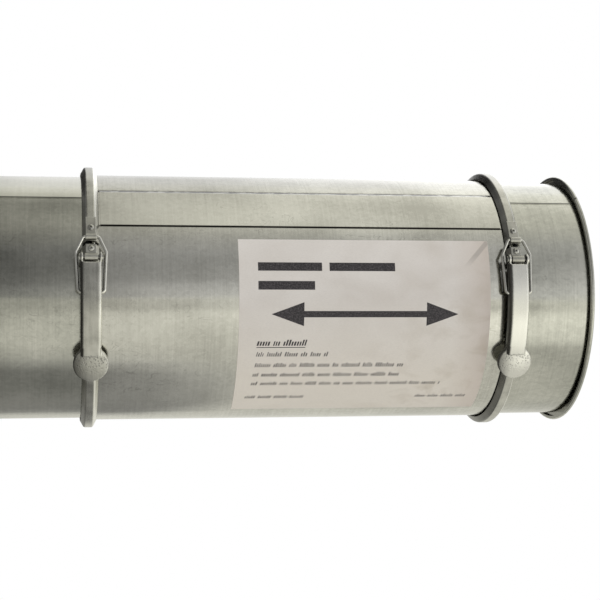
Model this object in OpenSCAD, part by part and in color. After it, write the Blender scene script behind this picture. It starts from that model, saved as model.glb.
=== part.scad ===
// Sliding access sleeve on a round duct, held by two over-centre lever clamps.
// The origin is on the duct's axis, at the middle of the clean-out opening.
// +X runs along the duct, -Y is the front and +Z is up.
// Angles round the duct start at the front and grow upwards.

/* [Duct] */
// Outside diameter of the duct
duct_d = 200; // [180:1:240]
// Sheet thickness of the duct
duct_sheet = 0.8; // [0.6:0.1:1.2]
// Duct length to the left of the opening's middle
run_left = 475; // [460:5:700]
// Duct length to the right of the opening's middle
run_right = 235; // [225:5:400]
// Width of the weld bead along the duct
bead_w = 2.4; // [1:0.2:4]
// Height of the weld bead over the duct
bead_h = 0.25; // [0.1:0.05:0.4]
// Angle of the weld bead round the duct
bead_a = 51.5; // [40:0.5:80]

/* [Rolled lips] */
// Height of the rolled lips over the duct
lip_h = 6.2; // [5.6:0.1:8]
// Outside radius of a lip's rolled edge
lip_bend = 1.6; // [1.3:0.1:1.8]
// Length of the leg that a lip turns back
lip_leg = 1.4; // [0.6:0.1:2]

/* [Clean-out opening] */
// Length of the opening along the duct
opening_l = 180; // [100:5:190]
// Height of the opening, seen from the front
opening_h = 150; // [80:5:160]
// Corner radius of the opening
opening_r = 25; // [5:1:35]

/* [Sleeve] */
// Length of the sleeve between its lip faces
sleeve_l = 338; // [300:1:380]
// Sheet thickness of the sleeve
sleeve_sheet = 0.8; // [0.6:0.1:1]
// Gap between the duct and the sleeve
sleeve_gap = 0.8; // [0.5:0.1:1]
// Angle of the free edge of the sleeve's lap seam
lap_a = 33; // [30:0.5:45]
// Width of the lap seam round the sleeve
lap_w = 38; // [15:1:45]
// Gap under the lap's outer layer
lap_lift = 0.25; // [0.1:0.05:0.4]
// Length of the joggle that carries the lap's outer layer up
joggle_l = 4; // [2:0.5:8]
// Distance that the lap stops short of the sleeve's lip faces
lap_short = 7.5; // [7:0.5:20]

/* [Label] */
// Width of the label along the duct
label_w = 203; // [80:1:240]
// Height of the label round the sleeve
label_h = 160; // [60:1:170]
// Thickness of the label
label_t = 0.2; // [0.1:0.05:0.4]
// Middle of the label along the duct
label_x = 47; // [-40:1:48]
// Angle of the label's middle round the sleeve
label_a = -18.8; // [-40:0.2:-15]

/* [O-rings] */
// Section diameter of the O-rings
ring_d = 4.4; // [3.6:0.1:4.6]
// Gap between an O-ring and the lip or the duct
ring_gap = 0.15; // [0.05:0.05:0.3]

/* [Clamp bands] */
// Sheet thickness of the bands
band_sheet = 1.2; // [1:0.1:1.5]
// Width of a band's outer face
band_face_w = 7; // [6.6:0.1:9]
// Width of a band at the rims of its flanges
band_base_w = 12.7; // [12.2:0.1:15]
// Depth of a band from its outer face to its rims
band_depth = 5.2; // [4:0.1:5.4]
// Outside radius of a band's bends
band_bend = 2; // [1.4:0.1:2.4]
// Gap between a lip's top and the band over it
lip_clear = 0.6; // [0.4:0.1:1]
// Angle of the split between the two halves at the front
split_a = 22.6; // [15:0.1:30]
// Gap between the ends of the two halves
split_gap = 3; // [2:0.2:4]

/* [Latch plates] */
// Sheet thickness of the latch and hinge plates
plate_sheet = 1.2; // [1:0.1:1.5]
// Width of the latch and hinge plates
plate_w = 8; // [7:0.1:8.6]
// Length of the catch plate above the split
catch_l = 22; // [19:0.5:26]
// Distance of the catch's wire axis above the split
hook_s = 3.2; // [2.8:0.1:4]
// Width of the catch's rolled hook
hook_w = 8.4; // [7.4:0.1:8.8]
// Distance of the catch rivet above the split
catch_rivet_s = 12.4; // [10:0.2:15]
// Distance of the bracket's top edge below the split
bracket_top_s = 1.9; // [1.6:0.1:2.4]
// Distance of the bracket rivet below the split
bracket_rivet_s = 5.4; // [4.8:0.1:6.2]
// Width of the bracket's rolled knuckle
pivot_w = 10; // [8:0.2:12]
// Distance of the lever's pivot below the split
pivot_s = 13.4; // [12.5:0.1:15]

/* [Lever] */
// Sheet thickness of the lever
lever_sheet = 1.5; // [1:0.1:1.8]
// Width of the lever's stem
lever_w = 16; // [15:0.1:16.8]
// Outside radius of the lever's edges
lever_edge = 2.6; // [2:0.1:3.5]
// Height of the lever's face over the band
lever_rise = 6.6; // [6.2:0.1:8]
// Depth of the lever's side walls
lever_skirt = 7.2; // [6.4:0.1:8]
// Radius of the lever's ears round the pivot
ear_r = 4.4; // [3.6:0.1:5]
// Distance of the bottom of the lever's window below the split
window_s = 17.8; // [17:0.1:20]
// Distance of the lever's crease below the split
crease_s = 88; // [80:0.5:100]
// Distance of the thumb bulb's middle below the crease
bulb_drop = 7; // [5:0.5:9]
// Diameter of the thumb bulb
bulb_d = 27; // [22:0.5:32]
// Outward tilt of the bulb, in degrees
bulb_tilt = 8; // [4:0.5:12]
// Height of the bulb's crown over the lever's face
bulb_crown = 0.6; // [0.2:0.1:1.2]
// Radius of the dome on the bulb
dome_r = 36; // [28:1:60]
// Depth of the bulb's skirt below the lever's face
bulb_skirt = 6; // [5:0.1:6.6]
// Length of the flare between the stem and the bulb
flare_l = 14; // [10:0.5:20]

/* [Wire bail] */
// Diameter of the bail's wire
wire_d = 2.5; // [2:0.1:2.6]
// Bend radius at the middle of the wire
wire_bend = 2.6; // [2:0.1:4]
// Width of the bail at its crossbar
crossbar_w = 12; // [11.6:0.2:13]
// Width of the bail at its shoulders
shoulder_w = 23.2; // [22:0.2:26]
// Distance of the shoulders below the crossbar
shoulder_drop = 12; // [9:0.5:16]
// Width of the bail at its feet
foot_w = 20.2; // [20:0.2:22]
// Length of the feet that turn in under the lever
foot_l = 4.8; // [4:0.1:5.4]
// Distance of the bail's feet below the split
foot_s = 39.8; // [36:0.2:44]
// Gap between the bail's feet and the band
foot_clear = 0.55; // [0.4:0.05:0.8]
// Slope of the hook in the lever's walls that pulls the feet
hook_slope = 24; // [22:1:30]
// Gap round the feet in the lever's hooks
hook_clear = 0.35; // [0.3:0.05:0.6]
// Depth of the lever's hooks past the middle of the feet
hook_bite = 0.6; // [0.3:0.1:0.8]

/* [Pins and rivets] */
// Diameter of the lever pins and hinge pins
pin_d = 4; // [3:0.1:4.4]
// Head diameter of the pins
pin_head_d = 6; // [5:0.1:6.4]
// Head thickness of the pins
pin_head_h = 0.9; // [0.5:0.1:1.1]
// Running gap of a pin or wire in its knuckle
run_gap = 0.1; // [0.05:0.01:0.15]
// Gap between riveted faces and round fixed pins
seat_gap = 0.05; // [0.02:0.01:0.08]
// Height that a rolled knuckle stands over its plate's underside
roll_lift = 0.15; // [0.1:0.05:0.3]
// Shank diameter of the tubular rivets
rivet_d = 3.2; // [2.4:0.1:3.4]
// Head diameter of the tubular rivets
rivet_head_d = 5; // [4.4:0.1:5.4]
// Head height of the tubular rivets
rivet_head_h = 1; // [0.8:0.1:1.4]
// Diameter of the hollow in a rivet's head
rivet_hollow_d = 2; // [1.2:0.1:2.2]

/* [Back hinge] */
// Length of a hinge leaf round the band
leaf_l = 20; // [17:0.5:26]
// Distance of a leaf's rivet from the hinge axis
leaf_rivet_s = 13; // [11:0.2:15]
// Width over all knuckles of the hinge
hinge_w = 8.6; // [8.2:0.1:9.4]
// Width of the middle knuckle
knuckle_w = 3.4; // [2.6:0.1:4]
// Gap between the knuckles
knuckle_gap = 0.15; // [0.1:0.05:0.3]

/* [Hidden] */
$fn = 128;
left = -1;
right = 1;
eps = 0.01;
tuck = 0.2;
arc_steps = 5;

galvanised = [0.68, 0.68, 0.64];
galvanised_sleeve = [0.64, 0.64, 0.60];
zinc_band = [0.50, 0.50, 0.48];
zinc_lever = [0.60, 0.60, 0.58];
zinc_plate = [0.56, 0.56, 0.53];
bright_wire = [0.76, 0.76, 0.73];
black_rubber = [0.08, 0.08, 0.08];
paper = [0.80, 0.78, 0.74];

duct_ro = duct_d / 2;
duct_ri = duct_ro - duct_sheet;
lip_top_r = duct_ro + lip_h;
lip_w = 2 * lip_bend;

sleeve_ri = duct_ro + sleeve_gap;
sleeve_ro = sleeve_ri + sleeve_sheet;
lap_ri = sleeve_ro + lap_lift;
lap_ro = lap_ri + sleeve_sheet;
lap_end_a = lap_a + degrees(lap_w, lap_ro);
joggle_a = degrees(joggle_l, lap_ro);

ring_mid_r = duct_ro + bead_h + ring_gap + ring_d / 2;
ring_x = sleeve_l / 2 + ring_gap + ring_d / 2;
clamp_x = sleeve_l / 2 + ring_gap;

band_ri = lip_top_r + lip_clear;
band_ro = band_ri + band_sheet;
band_rim_r = band_ro - band_depth;
flange_slope = (band_base_w - band_face_w) / 2 / band_depth;
flange_sheet_w = band_sheet * sqrt(1 + pow(flange_slope, 2));
end_s = split_gap / 2;
back_a = split_a + 180;

plate_ri = band_ro + seat_gap;
plate_ro = plate_ri + plate_sheet;
hook_bore_r = wire_d / 2 + run_gap;
hook_ro = hook_bore_r + plate_sheet;
hook_a = along(hook_s);
hook_r = plate_ri + roll_lift + hook_ro;
pin_bore_r = pin_d / 2 + run_gap;
knuckle_ro = pin_bore_r + plate_sheet;
pivot_a = along(-pivot_s);
pivot_r = plate_ri + roll_lift + knuckle_ro;

lever_top_r = band_ro + lever_rise;
lever_rim_r = lever_top_r - lever_skirt;
foot_a = along(-foot_s);
foot_r = band_ro + foot_clear + wire_d / 2;
hook_tip_r = foot_r - hook_bite;
window_a = along(-window_s);
crease_a = along(-crease_s);
bulb_a = along(-crease_s - bulb_drop);
bulb_r = bulb_d / 2;
flare_a = along(flare_l - crease_s - bulb_drop);
root_step = degrees(plate_sheet / 2, band_ro);
ear_end_a = pivot_a + degrees(ear_r / 2, pivot_r);
ear_w = lever_sheet + tuck;
ear_x = (lever_w - lever_sheet) / 2;

crossbar = front_point(hook_a, hook_r);
feet = front_point(foot_a, foot_r);
bail_drop = norm(crossbar - feet);
bail_tilt = atan2(crossbar[1] - feet[1], crossbar[0] - feet[0]);

function degrees(arc, r) = arc / r * 180 / PI;
function along(s) = split_a + degrees(s, band_ro);
function behind(s) = back_a + degrees(s, band_ro);
function front_point(a, r) = [-r * cos(a), r * sin(a)];
function unit(v) = v / norm(v);

// Points of a round corner at p between the neighbours a and b.
function corner(a, p, b, r) =
    let (
        u = unit(a - p),
        v = unit(b - p),
        half = acos(u * v) / 2,
        middle = p + unit(u + v) * r / sin(half),
        from = unit(p + u * r / tan(half) - middle),
        to = unit(p + v * r / tan(half) - middle)
    )
    [for (i = [0:arc_steps]) middle + r * unit(from * (1 - i / arc_steps) + to * i / arc_steps)];

// Points mirrored across the clamp's middle plane, in reverse order.
function mirrored(points) = [for (i = [len(points) - 1:-1:0]) [points[i][0], -points[i][1]]];

// Stands children up at an angle: x along the duct, y upwards round it, z outwards.
module at(a) {
    rotate([90 - a, 0, 0]) children();
}

// Turns a profile of radius and length along the duct from one angle to another.
module turned(from, to) {
    rotate([0, 90, 0]) rotate([0, 0, 270 - to]) rotate_extrude(angle = to - from) children();
}

module turned_full() {
    rotate([0, 90, 0]) rotate_extrude() children();
}

// Draws a section that is seen along the duct over a length that is centred on the origin.
module drawn(l) {
    rotate([90, 0, 90]) linear_extrude(height = l, center = true) children();
}

module cross_bar(d, w) {
    rotate([0, 90, 0]) cylinder(d = d, h = w, center = true);
}

// Profile of a rolled lip with its flat face at zero length.
module lip_profile(root_r, sheet) {
    bend_r = lip_top_r - lip_bend;
    translate([root_r, -sheet]) square([bend_r - root_r + eps, sheet]);
    translate([bend_r, -lip_bend]) intersection() {
        difference() {
            circle(r = lip_bend);
            circle(r = lip_bend - sheet);
        }
        translate([0, -lip_bend]) square([lip_bend, lip_w]);
    }
    translate([bend_r - lip_leg, -lip_w]) square([lip_leg + eps, sheet]);
}

module lip(side, x, root_r, sheet) {
    turned_full() translate([0, side * x]) mirror([0, side < 0 ? 1 : 0]) lip_profile(root_r, sheet);
}

module rounded_window(w, h, r) {
    square([w - 2 * r, h], center = true);
    square([w, h - 2 * r], center = true);
    for (x = [-1, 1], y = [-1, 1])
        translate([x * (w / 2 - r), y * (h / 2 - r)]) circle(r = r);
}

module duct_pipe() {
    bead_half_a = degrees(bead_w, duct_ro) / 2;
    color(galvanised) difference() {
        union() {
            turned_full() translate([duct_ri, -run_left]) square([duct_sheet, run_left + run_right]);
            lip(left, run_left, duct_ri, duct_sheet);
            lip(right, run_right, duct_ri, duct_sheet);
            turned(bead_a - bead_half_a, bead_a + bead_half_a)
                translate([duct_ro - duct_sheet / 2, lip_w - run_left])
                    square([duct_sheet / 2 + bead_h, run_left + run_right - 2 * lip_w]);
        }
        rotate([90, 0, 0]) translate([0, 0, duct_ro / 4])
            linear_extrude(height = duct_ro) rounded_window(opening_l, opening_h, opening_r);
    }
}

// Section of the lap's outer layer and the joggle that lifts it.
module lap_section() {
    intersection() {
        difference() {
            circle(r = lap_ro);
            circle(r = lap_ri);
        }
        polygon([[0, 0], front_point(lap_a, 2 * lap_ro), front_point(lap_end_a, 2 * lap_ro)]);
    }
    polygon([
        front_point(lap_end_a - eps, lap_ri),
        front_point(lap_end_a - eps, lap_ro),
        front_point(lap_end_a + joggle_a, sleeve_ro),
        front_point(lap_end_a + joggle_a, sleeve_ro - sleeve_sheet / 2)
    ]);
}

module access_sleeve() {
    color(galvanised_sleeve) union() {
        turned_full() translate([sleeve_ri, -sleeve_l / 2]) square([sleeve_sheet, sleeve_l]);
        lip(left, sleeve_l / 2, sleeve_ri, sleeve_sheet);
        lip(right, sleeve_l / 2, sleeve_ri, sleeve_sheet);
        drawn(sleeve_l - 2 * lap_short) lap_section();
    }
}

module instruction_label() {
    half_a = degrees(label_h, sleeve_ro) / 2;
    color(paper) turned(label_a - half_a, label_a + half_a)
        translate([sleeve_ro + seat_gap, label_x - label_w / 2]) square([label_t, label_w]);
}

module o_ring(side) {
    color(black_rubber) turned_full() translate([ring_mid_r, side * ring_x]) circle(d = ring_d);
}

// Half of the width over a band's flanges at a radius.
function flange_half(r) = band_face_w / 2 + (band_ro - r) * flange_slope;

module band_section() {
    rim = [band_rim_r, flange_half(band_rim_r)];
    edge = [band_ro, flange_half(band_ro)];
    inner_rim = [band_rim_r, flange_half(band_rim_r) - flange_sheet_w];
    inner_edge = [band_ri, flange_half(band_ri) - flange_sheet_w];
    outside = concat([rim], corner(rim, edge, [band_ro, 0], band_bend));
    inside = concat(corner([band_ri, 0], inner_edge, inner_rim, band_bend - band_sheet), [inner_rim]);
    polygon(concat(outside, mirrored(outside), mirrored(inside), inside));
}

// A radial hole through a band and the plate on it.
module rivet_hole(a) {
    at(a) translate([0, 0, band_rim_r]) cylinder(d = rivet_d + 2 * seat_gap, h = 2 * band_depth);
}

module band_half(side, from, to, rivets) {
    color(zinc_band) translate([side * clamp_x, 0, 0]) difference() {
        turned(from, to) band_section();
        for (a = rivets) rivet_hole(a);
    }
}

module upper_band(side) {
    band_half(side, along(end_s), behind(-end_s), [along(catch_rivet_s), behind(-leaf_rivet_s)]);
}

module lower_band(side) {
    band_half(side, behind(end_s) - 360, along(-end_s), [along(-bracket_rivet_s), behind(leaf_rivet_s)]);
}

module plate_arc(from, to, w) {
    turned(from, to) translate([plate_ri, -w / 2]) square([plate_sheet, w]);
}

// Tubular rivet: a shank set flush inside the band and a round head with a hollow.
module rivet(side, a) {
    shank_l = plate_ro - band_ri;
    color(zinc_plate) translate([side * clamp_x, 0, 0]) at(a) translate([0, 0, band_ri]) difference() {
        union() {
            cylinder(d = rivet_d, h = shank_l + eps);
            translate([0, 0, shank_l]) intersection() {
                cylinder(d = rivet_head_d, h = rivet_head_h);
                translate([0, 0, rivet_head_h - rivet_head_d]) sphere(r = rivet_head_d);
            }
        }
        translate([0, 0, shank_l]) cylinder(d = rivet_hollow_d, h = rivet_head_h + eps);
    }
}

// Plate on the upper half, rolled at its lower end round the bail's crossbar.
module catch_plate(side) {
    color(zinc_plate) translate([side * clamp_x, 0, 0]) difference() {
        union() {
            plate_arc(hook_a - root_step, along(catch_l), plate_w);
            at(hook_a) translate([0, 0, hook_r]) cross_bar(2 * hook_ro, hook_w);
        }
        at(hook_a) translate([0, 0, hook_r]) cross_bar(2 * hook_bore_r, 2 * plate_w);
        rivet_hole(along(catch_rivet_s));
    }
}

// Plate on the lower half, rolled at its lower end round the lever's pin.
module lever_bracket(side) {
    color(zinc_plate) translate([side * clamp_x, 0, 0]) difference() {
        union() {
            plate_arc(pivot_a - root_step, along(-bracket_top_s), plate_w);
            at(pivot_a) translate([0, 0, pivot_r]) cross_bar(2 * knuckle_ro, pivot_w);
        }
        at(pivot_a) translate([0, 0, pivot_r]) cross_bar(2 * pin_bore_r, 2 * pivot_w);
        rivet_hole(along(-bracket_rivet_s));
    }
}

module lever_section() {
    half_w = lever_w / 2;
    rim = [lever_rim_r, half_w];
    edge = [lever_top_r, half_w];
    inner_rim = [lever_rim_r, half_w - lever_sheet];
    inner_edge = [lever_top_r - lever_sheet, half_w - lever_sheet];
    outside = concat([rim], corner(rim, edge, [lever_top_r, 0], lever_edge));
    inside = concat(
        corner([lever_top_r - lever_sheet, 0], inner_edge, inner_rim, lever_edge - lever_sheet),
        [inner_rim]
    );
    polygon(concat(outside, mirrored(outside), mirrored(inside), inside));
}

// Outline of the thumb bulb with the flare that runs into the stem.
module bulb_outline(inset) {
    stem_half = lever_w / 2 - tuck;
    steps = 2 * arc_steps;
    function flare(t) = stem_half + (bulb_r - stem_half) * (1 + cos(180 * t)) / 2 - inset;
    flank = [for (i = [0:steps]) [flare(i / steps), flare_l * i / steps]];
    circle(r = bulb_r - inset);
    polygon(concat(flank, [for (i = [steps:-1:0]) [-flank[i][0], flank[i][1]]]));
}

// Domed cap over the outline, down to the skirt's rim, with a tail inside the stem.
module bulb_solid(inset, rim) {
    tail = [lever_w - 2 * inset - 2 * tuck, lever_sheet + inset];
    intersection() {
        translate([0, 0, rim]) linear_extrude(height = 2 * bulb_skirt) union() {
            bulb_outline(inset);
            translate([0, flare_l + tail[1] / 2 - eps]) square(tail, center = true);
        }
        translate([0, 0, bulb_crown - dome_r]) rotate([0, 90, 0]) sphere(r = dome_r - inset);
    }
}

// Open cup for the thumb, tilted out from the band.
module thumb_bulb() {
    at(bulb_a) translate([0, 0, lever_top_r]) rotate([-bulb_tilt, 0, 0]) difference() {
        bulb_solid(0, -bulb_skirt);
        bulb_solid(lever_sheet, -bulb_skirt - lever_sheet);
    }
}

// Round-edged flat of the stem that runs on over the flare to the crease.
module crease_rib() {
    top_r = lever_top_r - eps;
    foot = [top_r - lever_edge - lever_sheet, lever_w / 2 - 2 * tuck];
    flank = concat([foot], corner(foot, [top_r, foot[1]], [top_r, 0], lever_edge));
    turned(crease_a, flare_a + degrees(lever_sheet, lever_top_r))
        polygon(concat(flank, mirrored(flank)));
}

// Openings in the lever's walls that hook the bail's feet and let go inwards.
module hook_cut() {
    half = wire_d / 2 + hook_clear;
    ramp = (half + foot_r - lever_rim_r + 1) * tan(hook_slope);
    at(foot_a) translate([0, 0, foot_r]) rotate([90, 0, 90])
        linear_extrude(height = 2 * lever_w, center = true) {
            circle(r = half);
            polygon([
                [-half, 0],
                [-half, lever_rim_r - foot_r - 1],
                [half + ramp, lever_rim_r - foot_r - 1],
                [half * cos(hook_slope), half * sin(hook_slope)]
            ]);
        }
}

module lever(side) {
    window_w = lever_w - 2 * lever_sheet - 2 * tuck;
    color(zinc_lever) translate([side * clamp_x, 0, 0]) difference() {
        union() {
            difference() {
                turned(flare_a, ear_end_a) lever_section();
                turned(window_a, ear_end_a + 1)
                    translate([lever_rim_r - 1, -window_w / 2])
                        square([lever_skirt + 2, window_w]);
                turned(foot_a, ear_end_a + 1)
                    translate([lever_rim_r - 1, -lever_w])
                        square([hook_tip_r - lever_rim_r + 1, 2 * lever_w]);
                hook_cut();
            }
            crease_rib();
            thumb_bulb();
            at(pivot_a) translate([0, 0, pivot_r])
                for (x = [-ear_x, ear_x]) translate([x, 0, 0]) cross_bar(2 * ear_r, ear_w);
        }
        at(pivot_a) translate([0, 0, pivot_r]) cross_bar(pin_d + 2 * seat_gap, 2 * lever_w);
    }
}

module headed_pin(l) {
    cross_bar(pin_d, l + 2 * pin_head_h);
    for (x = [-1, 1]) translate([x * (l + pin_head_h) / 2, 0, 0]) cross_bar(pin_head_d, pin_head_h);
}

module lever_pin(side) {
    color(zinc_plate) translate([side * clamp_x, 0, 0]) at(pivot_a) translate([0, 0, pivot_r])
        headed_pin(2 * ear_x + ear_w + 2 * seat_gap);
}

// Turn at a point of a wire from one direction to the next, in degrees.
function turn(a, p, b) =
    let (u = unit(p - a), v = unit(b - p)) atan2(u[0] * v[1] - u[1] * v[0], u * v);

function trim(a, p, b) = wire_bend * tan(abs(turn(a, p, b)) / 2);

// Round wire along flat points, with a true bend at each inner point.
module bent_wire(p) {
    last = len(p) - 1;
    cut = [for (i = [0:last]) (i == 0 || i == last) ? 0 : trim(p[i - 1], p[i], p[i + 1])];
    for (i = [0:last - 1]) {
        way = unit(p[i + 1] - p[i]);
        translate(p[i] + way * (cut[i] - eps)) rotate([0, 0, atan2(way[1], way[0])]) rotate([0, 90, 0])
            cylinder(d = wire_d, h = norm(p[i + 1] - p[i]) - cut[i] - cut[i + 1] + 2 * eps);
    }
    for (i = [1:last - 1]) {
        way = unit(p[i] - p[i - 1]);
        t = turn(p[i - 1], p[i], p[i + 1]);
        bend = t > 0 ? 1 : -1;
        middle = p[i] - way * cut[i] + bend * wire_bend * [-way[1], way[0]];
        translate(middle) rotate([0, 0, atan2(way[1], way[0]) - bend * 90])
            rotate_extrude(angle = t) translate([wire_bend, 0]) circle(d = wire_d + 2 * eps);
    }
}

module wire_bail(side) {
    leg = [
        [foot_w / 2 - foot_l, -bail_drop],
        [foot_w / 2, -bail_drop],
        [shoulder_w / 2, -shoulder_drop],
        [crossbar_w / 2, 0]
    ];
    other_leg = [for (i = [len(leg) - 1:-1:0]) [-leg[i][0], leg[i][1]]];
    color(bright_wire) translate([side * clamp_x, crossbar[0], crossbar[1]]) rotate([bail_tilt, 0, 0])
        bent_wire(concat(leg, other_leg));
}

// Place and width of each hinge knuckle along the pin, for both leaves.
outer_knuckle_w = (hinge_w - knuckle_w) / 2 - knuckle_gap;
outer_knuckle_x = (hinge_w - outer_knuckle_w) / 2;
middle_knuckle = [[0, knuckle_w]];
outer_knuckles = [[-outer_knuckle_x, outer_knuckle_w], [outer_knuckle_x, outer_knuckle_w]];

module on_hinge(x) {
    translate([x, 0, 0]) at(back_a) translate([0, 0, pivot_r]) children();
}

// Hinge leaf on one half, with room for the other leaf's knuckles.
// way is 1 on the lower half and -1 on the upper half.
module hinge_leaf(side, way, own, other) {
    end_a = behind(way * leaf_l);
    root_a = back_a - way * root_step;
    past_a = behind(-way * plate_sheet);
    room_a = behind(way * (knuckle_ro + knuckle_gap));
    color(zinc_plate) translate([side * clamp_x, 0, 0]) difference() {
        union() {
            difference() {
                plate_arc(min(root_a, end_a), max(root_a, end_a), plate_w);
                for (k = other) translate([k[0], 0, 0]) turned(min(past_a, room_a), max(past_a, room_a))
                    translate([band_ri, -k[1] / 2 - 2 * knuckle_gap])
                        square([band_depth, k[1] + 4 * knuckle_gap]);
            }
            for (k = own) on_hinge(k[0]) cross_bar(2 * knuckle_ro, k[1]);
        }
        on_hinge(0) cross_bar(2 * pin_bore_r, 2 * plate_w);
        rivet_hole(behind(way * leaf_rivet_s));
    }
}

module upper_hinge_leaf(side) {
    hinge_leaf(side, -1, middle_knuckle, outer_knuckles);
}

module lower_hinge_leaf(side) {
    hinge_leaf(side, 1, outer_knuckles, middle_knuckle);
}

module hinge_pin(side) {
    color(zinc_plate) translate([side * clamp_x, 0, 0]) at(back_a) translate([0, 0, pivot_r])
        headed_pin(hinge_w + 2 * seat_gap);
}

duct_pipe();
access_sleeve();
instruction_label();
o_ring(left);  // left_o_ring
lower_band(left);  // left_lower_band
upper_band(left);  // left_upper_band
catch_plate(left);  // left_catch_plate
rivet(left, along(catch_rivet_s));  // left_catch_rivet
lever_bracket(left);  // left_lever_bracket
rivet(left, along(-bracket_rivet_s));  // left_bracket_rivet
lever(left);  // left_lever
lever_pin(left);  // left_lever_pin
wire_bail(left);  // left_wire_bail
upper_hinge_leaf(left);  // left_upper_hinge_leaf
rivet(left, behind(-leaf_rivet_s));  // left_upper_leaf_rivet
lower_hinge_leaf(left);  // left_lower_hinge_leaf
rivet(left, behind(leaf_rivet_s));  // left_lower_leaf_rivet
hinge_pin(left);  // left_hinge_pin
o_ring(right);  // right_o_ring
lower_band(right);  // right_lower_band
upper_band(right);  // right_upper_band
catch_plate(right);  // right_catch_plate
rivet(right, along(catch_rivet_s));  // right_catch_rivet
lever_bracket(right);  // right_lever_bracket
rivet(right, along(-bracket_rivet_s));  // right_bracket_rivet
lever(right);  // right_lever
lever_pin(right);  // right_lever_pin
wire_bail(right);  // right_wire_bail
upper_hinge_leaf(right);  // right_upper_hinge_leaf
rivet(right, behind(-leaf_rivet_s));  // right_upper_leaf_rivet
lower_hinge_leaf(right);  // right_lower_hinge_leaf
rivet(right, behind(leaf_rivet_s));  // right_lower_leaf_rivet
hinge_pin(right);  // right_hinge_pin
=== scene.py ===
import math
import random

import bmesh
import bpy
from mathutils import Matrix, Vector


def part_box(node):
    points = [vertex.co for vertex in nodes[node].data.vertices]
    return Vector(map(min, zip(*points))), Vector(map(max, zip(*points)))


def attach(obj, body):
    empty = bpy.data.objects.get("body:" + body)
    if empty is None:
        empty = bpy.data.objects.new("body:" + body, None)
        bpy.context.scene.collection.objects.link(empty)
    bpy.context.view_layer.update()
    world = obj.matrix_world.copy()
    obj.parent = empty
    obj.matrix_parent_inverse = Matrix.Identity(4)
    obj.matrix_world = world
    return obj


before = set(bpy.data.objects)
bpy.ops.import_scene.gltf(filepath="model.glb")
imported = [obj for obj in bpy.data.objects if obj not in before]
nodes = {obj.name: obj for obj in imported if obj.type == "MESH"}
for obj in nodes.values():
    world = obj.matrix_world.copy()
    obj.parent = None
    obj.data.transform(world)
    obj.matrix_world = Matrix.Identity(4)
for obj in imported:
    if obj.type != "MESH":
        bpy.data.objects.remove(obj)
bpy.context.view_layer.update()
mm = 0.001
sides = ("left", "right")
noiseLow, noiseHigh = 0.3, 0.7  # most of a noise lies between these


def radiusOf(node, pick=max):  # largest or smallest distance of a node from the duct's axis
    return pick(math.hypot(v.co.y, v.co.z) for v in nodes[node].data.vertices)


def linear(hexCode):  # sRGB hex to the linear colour that a shader takes
    parts = [int(hexCode[i:i + 2], 16) / 255 for i in (1, 3, 5)]
    return [c / 12.92 if c <= 0.04045 else ((c + 0.055) / 1.055) ** 2.4 for c in parts] + [1.0]


def addNode(tree, kind, inputs=None, out=0, stops=(), **settings):
    node = tree.nodes.new("ShaderNode" + kind)
    for name, value in settings.items():
        setattr(node, name, value)
    for name, value in (inputs or {}).items():  # another node's output, a hex colour or a plain value
        if isinstance(value, bpy.types.NodeSocket):
            tree.links.new(value, node.inputs[name])
        else:
            node.inputs[name].default_value = linear(value) if isinstance(value, str) else value
    for index, (place, colour) in enumerate(stops):  # a hex colour or a plain level
        elements = node.color_ramp.elements
        stop = elements[index] if index < 2 else elements.new(place)
        stop.position = place
        stop.color = linear(colour) if isinstance(colour, str) else (colour, colour, colour, 1.0)
    return node.outputs[out]


def newMaterial(name, values):
    material = bpy.data.materials.new(name)
    material.use_nodes = True
    tree = material.node_tree
    shader = tree.nodes["Principled BSDF"]
    for socket, value in values.items():
        shader.inputs[socket].default_value = value
    return material, tree, shader.inputs


barrelRadius = radiusOf("instruction_label")  # the label lies on the sleeve


def roundPlace(tree):  # along the duct, round it from the front and out from it, in millimetres
    place = addNode(tree, "TexCoord", out="Object")
    place = addNode(tree, "VectorMath", {0: place, "Scale": 1 / mm}, operation="SCALE")
    split = addNode(tree, "SeparateXYZ", {0: place}).node.outputs
    front = addNode(tree, "Math", {0: split["Y"], 1: -1.0}, operation="MULTIPLY")
    angle = addNode(tree, "Math", {0: split["Z"], 1: front}, operation="ARCTAN2")
    arc = addNode(tree, "Math", {0: angle, 1: barrelRadius / mm}, operation="MULTIPLY")
    across = addNode(tree, "CombineXYZ", {"Y": split["Y"], "Z": split["Z"]})
    out = addNode(tree, "VectorMath", {0: across}, "Value", operation="LENGTH")
    return addNode(tree, "CombineXYZ", {"X": split["X"], "Y": arc, "Z": out})


def arcAt(angle):  # millimetres round the barrel to an angle above the front
    return math.radians(angle) * barrelRadius / mm


def dress(material, *names):
    for name in names:
        nodes[name].material_slots[0].material = material


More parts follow.
